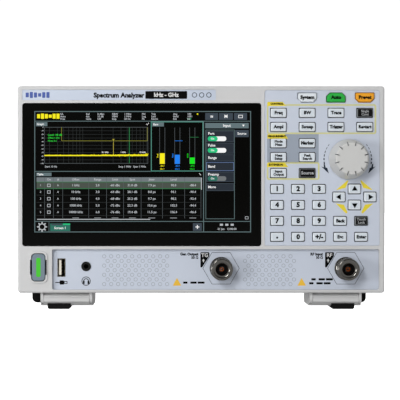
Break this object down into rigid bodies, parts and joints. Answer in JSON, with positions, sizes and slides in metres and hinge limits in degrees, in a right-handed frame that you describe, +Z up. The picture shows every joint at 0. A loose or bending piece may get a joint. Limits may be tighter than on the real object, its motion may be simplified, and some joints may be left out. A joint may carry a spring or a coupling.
{
  "type": "spectrum analyzer",
  "caption": "Compact bench spectrum analyzer with colour touch display, sprung keypad, tuning knob, power button, coaxial jacks and fold-out front tilt legs.",
  "frame": {"origin": "middle of the instrument's bounding box at table level", "axes": "+Z up, +X to the right seen from the front, front panel faces -Y"},
  "size_m": [0.2654, 0.1116, 0.162],
  "materials": {
    "case_plastic": "fine texture, warm light grey",
    "fascia_print": "printed film, blue grey",
    "display_glass": "black bordered cover glass",
    "panel_metal": "plain",
    "board": "green solder mask",
    "shield_metal": "plain",
    "black_plastic": "satin black",
    "nickel": "bright nickel plate",
    "socket_steel": "tin plate",
    "screw_steel": "zinc plate",
    "rubber": "moulded black rubber",
    "knob_plastic": "satin light grey",
    "power_cap": "blue grey satin",
    "light_keycap": "satin blue white",
    "dark_keycap": "dark window in a grey rim",
    "green_keycap": "satin green",
    "orange_keycap": "satin orange"
  },
  "bodies": {
    "case": {"front_bezel": "case_plastic", "rear_case": "case_plastic", "display_glass": "display_glass", "lcd_module": "panel_metal", "keypad_fascia": "fascia_print", "connector_fascia": "fascia_print", "circuit_boards": "board", "rf_shield_box": "shield_metal", "fan_frame": "black_plastic", "n_connectors": "nickel", "usb_socket": "socket_steel", "headphone_jack": "black_plastic", "rear_feet": "rubber", "case_screws": "screw_steel", "rear_sockets": "socket_steel"},
    "key_amplitude": {"key_amplitude": "light_keycap"},
    "key_auto": {"key_auto": "green_keycap"},
    "key_back": {"key_back": "light_keycap"},
    "key_bandwidth": {"key_bandwidth": "light_keycap"},
    "key_down": {"key_down": "light_keycap"},
    "key_eight": {"key_eight": "light_keycap"},
    "key_enter": {"key_enter": "light_keycap"},
    "key_escape": {"key_escape": "light_keycap"},
    "key_five": {"key_five": "light_keycap"},
    "key_four": {"key_four": "light_keycap"},
    "key_frequency": {"key_frequency": "light_keycap"},
    "key_input_output": {"key_input_output": "light_keycap"},
    "key_left": {"key_left": "light_keycap"},
    "key_marker": {"key_marker": "light_keycap"},
    "key_measure_setup": {"key_measure_setup": "light_keycap"},
    "key_mode_measure": {"key_mode_measure": "light_keycap"},
    "key_nine": {"key_nine": "light_keycap"},
    "key_one": {"key_one": "light_keycap"},
    "key_peak_search": {"key_peak_search": "light_keycap"},
    "key_point": {"key_point": "light_keycap"},
    "key_preset": {"key_preset": "orange_keycap"},
    "key_restart": {"key_restart": "light_keycap"},
    "key_right": {"key_right": "light_keycap"},
    "key_seven": {"key_seven": "light_keycap"},
    "key_sign": {"key_sign": "light_keycap"},
    "key_single_continue": {"key_single_continue": "dark_keycap"},
    "key_six": {"key_six": "light_keycap"},
    "key_source": {"key_source": "dark_keycap"},
    "key_sweep": {"key_sweep": "light_keycap"},
    "key_system": {"key_system": "light_keycap"},
    "key_three": {"key_three": "light_keycap"},
    "key_touch_lock": {"key_touch_lock": "dark_keycap"},
    "key_trace": {"key_trace": "light_keycap"},
    "key_trigger": {"key_trigger": "light_keycap"},
    "key_two": {"key_two": "light_keycap"},
    "key_up": {"key_up": "light_keycap"},
    "key_zero": {"key_zero": "light_keycap"},
    "power_button": {"power_button": "power_cap"},
    "tuning_knob": {"tuning_knob": "knob_plastic", "encoder_shaft": "screw_steel"},
    "fan_rotor": {"fan_rotor": "black_plastic"},
    "leg_left": {"leg_left": "case_plastic", "leg_pad_left": "rubber"},
    "leg_right": {"leg_right": "case_plastic", "leg_pad_right": "rubber"}
  },
  "joints": [
    {"name": "key_amplitude_press", "type": "slide", "parent": "case", "child": "key_amplitude", "axis": [0, 1, 0], "range_m": [0, 0.001], "stiffness_N_per_m": 400, "springref_m": -0.001},
    {"name": "key_auto_press", "type": "slide", "parent": "case", "child": "key_auto", "axis": [0, 1, 0], "range_m": [0, 0.001], "stiffness_N_per_m": 400, "springref_m": -0.001},
    {"name": "key_back_press", "type": "slide", "parent": "case", "child": "key_back", "axis": [0, 1, 0], "range_m": [0, 0.001], "stiffness_N_per_m": 400, "springref_m": -0.001},
    {"name": "key_bandwidth_press", "type": "slide", "parent": "case", "child": "key_bandwidth", "axis": [0, 1, 0], "range_m": [0, 0.001], "stiffness_N_per_m": 400, "springref_m": -0.001},
    {"name": "key_down_press", "type": "slide", "parent": "case", "child": "key_down", "axis": [0, 1, 0], "range_m": [0, 0.001], "stiffness_N_per_m": 400, "springref_m": -0.001},
    {"name": "key_eight_press", "type": "slide", "parent": "case", "child": "key_eight", "axis": [0, 1, 0], "range_m": [0, 0.001], "stiffness_N_per_m": 400, "springref_m": -0.001},
    {"name": "key_enter_press", "type": "slide", "parent": "case", "child": "key_enter", "axis": [0, 1, 0], "range_m": [0, 0.001], "stiffness_N_per_m": 400, "springref_m": -0.001},
    {"name": "key_escape_press", "type": "slide", "parent": "case", "child": "key_escape", "axis": [0, 1, 0], "range_m": [0, 0.001], "stiffness_N_per_m": 400, "springref_m": -0.001},
    {"name": "key_five_press", "type": "slide", "parent": "case", "child": "key_five", "axis": [0, 1, 0], "range_m": [0, 0.001], "stiffness_N_per_m": 400, "springref_m": -0.001},
    {"name": "key_four_press", "type": "slide", "parent": "case", "child": "key_four", "axis": [0, 1, 0], "range_m": [0, 0.001], "stiffness_N_per_m": 400, "springref_m": -0.001},
    {"name": "key_frequency_press", "type": "slide", "parent": "case", "child": "key_frequency", "axis": [0, 1, 0], "range_m": [0, 0.001], "stiffness_N_per_m": 400, "springref_m": -0.001},
    {"name": "key_input_output_press", "type": "slide", "parent": "case", "child": "key_input_output", "axis": [0, 1, 0], "range_m": [0, 0.001], "stiffness_N_per_m": 400, "springref_m": -0.001},
    {"name": "key_left_press", "type": "slide", "parent": "case", "child": "key_left", "axis": [0, 1, 0], "range_m": [0, 0.001], "stiffness_N_per_m": 400, "springref_m": -0.001},
    {"name": "key_marker_press", "type": "slide", "parent": "case", "child": "key_marker", "axis": [0, 1, 0], "range_m": [0, 0.001], "stiffness_N_per_m": 400, "springref_m": -0.001},
    {"name": "key_measure_setup_press", "type": "slide", "parent": "case", "child": "key_measure_setup", "axis": [0, 1, 0], "range_m": [0, 0.001], "stiffness_N_per_m": 400, "springref_m": -0.001},
    {"name": "key_mode_measure_press", "type": "slide", "parent": "case", "child": "key_mode_measure", "axis": [0, 1, 0], "range_m": [0, 0.001], "stiffness_N_per_m": 400, "springref_m": -0.001},
    {"name": "key_nine_press", "type": "slide", "parent": "case", "child": "key_nine", "axis": [0, 1, 0], "range_m": [0, 0.001], "stiffness_N_per_m": 400, "springref_m": -0.001},
    {"name": "key_one_press", "type": "slide", "parent": "case", "child": "key_one", "axis": [0, 1, 0], "range_m": [0, 0.001], "stiffness_N_per_m": 400, "springref_m": -0.001},
    {"name": "key_peak_search_press", "type": "slide", "parent": "case", "child": "key_peak_search", "axis": [0, 1, 0], "range_m": [0, 0.001], "stiffness_N_per_m": 400, "springref_m": -0.001},
    {"name": "key_point_press", "type": "slide", "parent": "case", "child": "key_point", "axis": [0, 1, 0], "range_m": [0, 0.001], "stiffness_N_per_m": 400, "springref_m": -0.001},
    {"name": "key_preset_press", "type": "slide", "parent": "case", "child": "key_preset", "axis": [0, 1, 0], "range_m": [0, 0.001], "stiffness_N_per_m": 400, "springref_m": -0.001},
    {"name": "key_restart_press", "type": "slide", "parent": "case", "child": "key_restart", "axis": [0, 1, 0], "range_m": [0, 0.001], "stiffness_N_per_m": 400, "springref_m": -0.001},
    {"name": "key_right_press", "type": "slide", "parent": "case", "child": "key_right", "axis": [0, 1, 0], "range_m": [0, 0.001], "stiffness_N_per_m": 400, "springref_m": -0.001},
    {"name": "key_seven_press", "type": "slide", "parent": "case", "child": "key_seven", "axis": [0, 1, 0], "range_m": [0, 0.001], "stiffness_N_per_m": 400, "springref_m": -0.001},
    {"name": "key_sign_press", "type": "slide", "parent": "case", "child": "key_sign", "axis": [0, 1, 0], "range_m": [0, 0.001], "stiffness_N_per_m": 400, "springref_m": -0.001},
    {"name": "key_single_continue_press", "type": "slide", "parent": "case", "child": "key_single_continue", "axis": [0, 1, 0], "range_m": [0, 0.001], "stiffness_N_per_m": 400, "springref_m": -0.001},
    {"name": "key_six_press", "type": "slide", "parent": "case", "child": "key_six", "axis": [0, 1, 0], "range_m": [0, 0.001], "stiffness_N_per_m": 400, "springref_m": -0.001},
    {"name": "key_source_press", "type": "slide", "parent": "case", "child": "key_source", "axis": [0, 1, 0], "range_m": [0, 0.001], "stiffness_N_per_m": 400, "springref_m": -0.001},
    {"name": "key_sweep_press", "type": "slide", "parent": "case", "child": "key_sweep", "axis": [0, 1, 0], "range_m": [0, 0.001], "stiffness_N_per_m": 400, "springref_m": -0.001},
    {"name": "key_system_press", "type": "slide", "parent": "case", "child": "key_system", "axis": [0, 1, 0], "range_m": [0, 0.001], "stiffness_N_per_m": 400, "springref_m": -0.001},
    {"name": "key_three_press", "type": "slide", "parent": "case", "child": "key_three", "axis": [0, 1, 0], "range_m": [0, 0.001], "stiffness_N_per_m": 400, "springref_m": -0.001},
    {"name": "key_touch_lock_press", "type": "slide", "parent": "case", "child": "key_touch_lock", "axis": [0, 1, 0], "range_m": [0, 0.001], "stiffness_N_per_m": 400, "springref_m": -0.001},
    {"name": "key_trace_press", "type": "slide", "parent": "case", "child": "key_trace", "axis": [0, 1, 0], "range_m": [0, 0.001], "stiffness_N_per_m": 400, "springref_m": -0.001},
    {"name": "key_trigger_press", "type": "slide", "parent": "case", "child": "key_trigger", "axis": [0, 1, 0], "range_m": [0, 0.001], "stiffness_N_per_m": 400, "springref_m": -0.001},
    {"name": "key_two_press", "type": "slide", "parent": "case", "child": "key_two", "axis": [0, 1, 0], "range_m": [0, 0.001], "stiffness_N_per_m": 400, "springref_m": -0.001},
    {"name": "key_up_press", "type": "slide", "parent": "case", "child": "key_up", "axis": [0, 1, 0], "range_m": [0, 0.001], "stiffness_N_per_m": 400, "springref_m": -0.001},
    {"name": "key_zero_press", "type": "slide", "parent": "case", "child": "key_zero", "axis": [0, 1, 0], "range_m": [0, 0.001], "stiffness_N_per_m": 400, "springref_m": -0.001},
    {"name": "power_button_press", "type": "slide", "parent": "case", "child": "power_button", "axis": [0, 1, 0], "range_m": [0, 0.0012], "stiffness_N_per_m": 500, "springref_m": -0.001},
    {"name": "tuning_knob_turn", "type": "hinge", "parent": "case", "child": "tuning_knob", "pos_m": [0.1067, -0.04025, 0.1091], "axis": [0, 1, 0], "continuous": true},
    {"name": "fan_spin", "type": "hinge", "parent": "case", "child": "fan_rotor", "pos_m": [-0.092, 0.03975, 0.105], "axis": [0, 1, 0], "continuous": true},
    {"name": "leg_left_fold", "type": "hinge", "parent": "case", "child": "leg_left", "pos_m": [-0.098, -0.03125, 0.008], "axis": [-1, 0, 0], "range_deg": [0, 90]},
    {"name": "leg_right_fold", "type": "hinge", "parent": "case", "child": "leg_right", "pos_m": [0.098, -0.03125, 0.008], "axis": [-1, 0, 0], "range_deg": [0, 90]}
  ]
}
